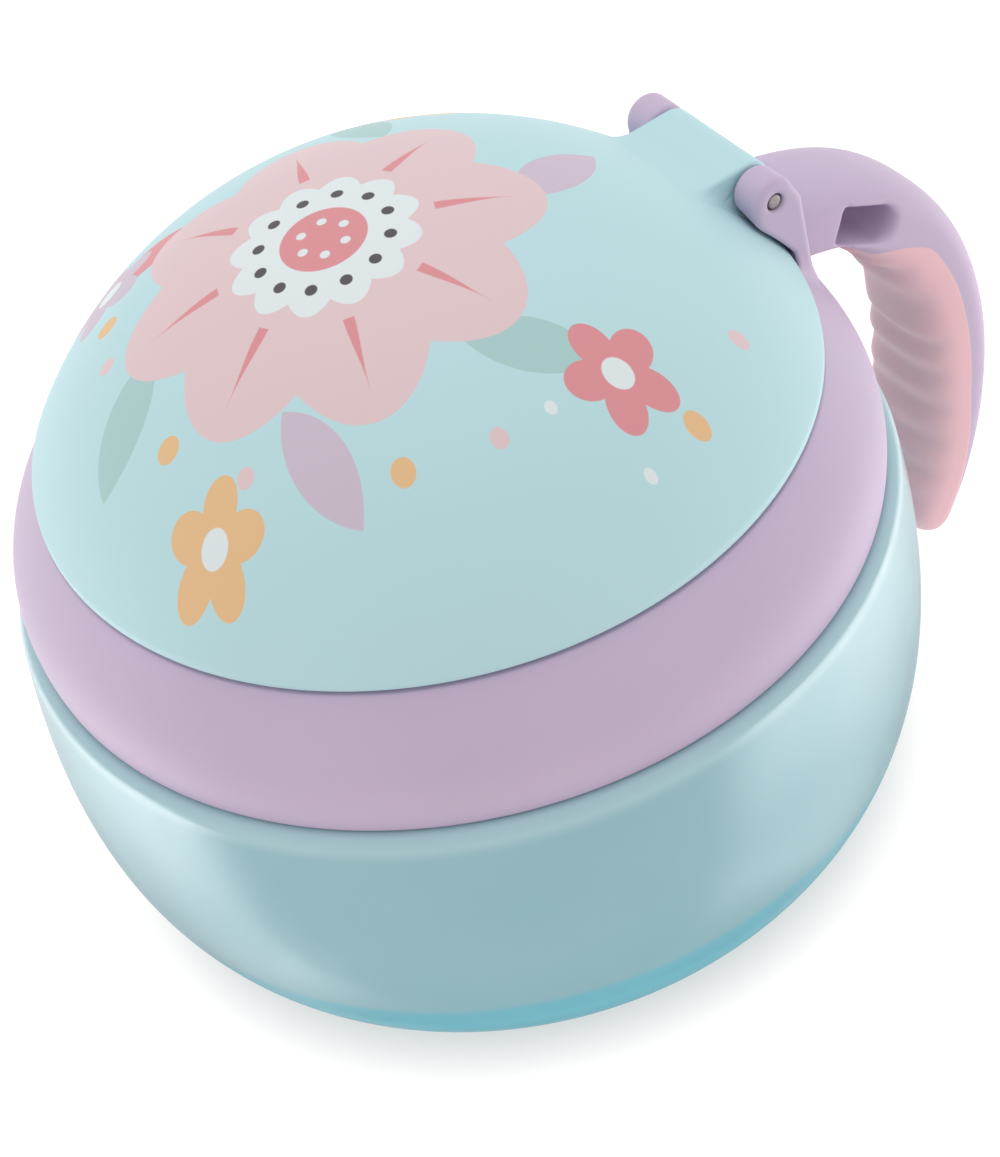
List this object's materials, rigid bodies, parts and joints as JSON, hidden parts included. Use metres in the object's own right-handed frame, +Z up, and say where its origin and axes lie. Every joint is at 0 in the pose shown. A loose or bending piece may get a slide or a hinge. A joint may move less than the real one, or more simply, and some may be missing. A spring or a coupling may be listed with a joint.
{
  "type": "toddler snack container",
  "caption": "Round translucent snack cup with a screw-on collar, soft slit flaps in the mouth, a hinged dome cover and a ribbed loop handle.",
  "frame": {"origin": "centre of the cup's flat base, on the surface it stands on", "axes": "+Z up along the cup's axis, +Y from the cup's axis towards the hinge and handle, +X along the hinge pin"},
  "size_m": [0.1086, 0.1315, 0.0899],
  "materials": {
    "cup": "glossy translucent polypropylene",
    "insert": "soft matte elastomer",
    "collar": "satin moulded polypropylene",
    "grip": "soft matte elastomer",
    "pin": "plain drawn steel",
    "cover": "satin moulded polypropylene with a printed pattern"
  },
  "bodies": {
    "cup": {"cup": "cup"},
    "insert": {"flap_ring": "insert"},
    "lid": {"collar": "collar", "handle": "collar", "handle_grip": "grip", "hinge_pin": "pin"},
    "cover": {"cover": "cover"},
    "flap_1": {"flap_1": "insert"},
    "flap_2": {"flap_2": "insert"},
    "flap_3": {"flap_3": "insert"},
    "flap_4": {"flap_4": "insert"},
    "flap_5": {"flap_5": "insert"},
    "flap_6": {"flap_6": "insert"},
    "flap_7": {"flap_7": "insert"},
    "flap_8": {"flap_8": "insert"}
  },
  "joints": [
    {"name": "collar_lift", "type": "slide", "parent": "cup", "child": "insert", "axis": [0, 0, 1], "range_m": [0, 0.0076]},
    {"name": "collar_turn", "type": "hinge", "parent": "insert", "child": "lid", "pos_m": [0, 0, 0], "axis": [0, 0, 1], "range_deg": [0, 150]},
    {"name": "cover_hinge", "type": "hinge", "parent": "lid", "child": "cover", "pos_m": [0, 0.0442, 0.0717], "axis": [-1, 0, 0], "range_deg": [0, 165]},
    {"name": "flap_1_bend", "type": "hinge", "parent": "insert", "child": "flap_1", "pos_m": [0.0325, 0, 0.0569], "axis": [0, -1, 0], "range_deg": [-40, 75], "stiffness_Nm_per_rad": 0.01},
    {"name": "flap_2_bend", "type": "hinge", "parent": "insert", "child": "flap_2", "pos_m": [0.02298, 0.02298, 0.0569], "axis": [0.7071, -0.7071, 0], "range_deg": [-40, 75], "stiffness_Nm_per_rad": 0.01},
    {"name": "flap_3_bend", "type": "hinge", "parent": "insert", "child": "flap_3", "pos_m": [0, 0.0325, 0.0569], "axis": [1, 0, 0], "range_deg": [-40, 75], "stiffness_Nm_per_rad": 0.01},
    {"name": "flap_4_bend", "type": "hinge", "parent": "insert", "child": "flap_4", "pos_m": [-0.02298, 0.02298, 0.0569], "axis": [0.7071, 0.7071, 0], "range_deg": [-40, 75], "stiffness_Nm_per_rad": 0.01},
    {"name": "flap_5_bend", "type": "hinge", "parent": "insert", "child": "flap_5", "pos_m": [-0.0325, 0, 0.0569], "axis": [0, 1, 0], "range_deg": [-40, 75], "stiffness_Nm_per_rad": 0.01},
    {"name": "flap_6_bend", "type": "hinge", "parent": "insert", "child": "flap_6", "pos_m": [-0.02298, -0.02298, 0.0569], "axis": [-0.7071, 0.7071, 0], "range_deg": [-40, 75], "stiffness_Nm_per_rad": 0.01},
    {"name": "flap_7_bend", "type": "hinge", "parent": "insert", "child": "flap_7", "pos_m": [0, -0.0325, 0.0569], "axis": [-1, 0, 0], "range_deg": [-40, 75], "stiffness_Nm_per_rad": 0.01},
    {"name": "flap_8_bend", "type": "hinge", "parent": "insert", "child": "flap_8", "pos_m": [0.02298, -0.02298, 0.0569], "axis": [-0.7071, -0.7071, 0], "range_deg": [-40, 75], "stiffness_Nm_per_rad": 0.01}
  ],
  "couplings": [
    {"joint": "collar_lift", "follows": "collar_turn", "m_per_rad": 0.0028648}
  ]
}
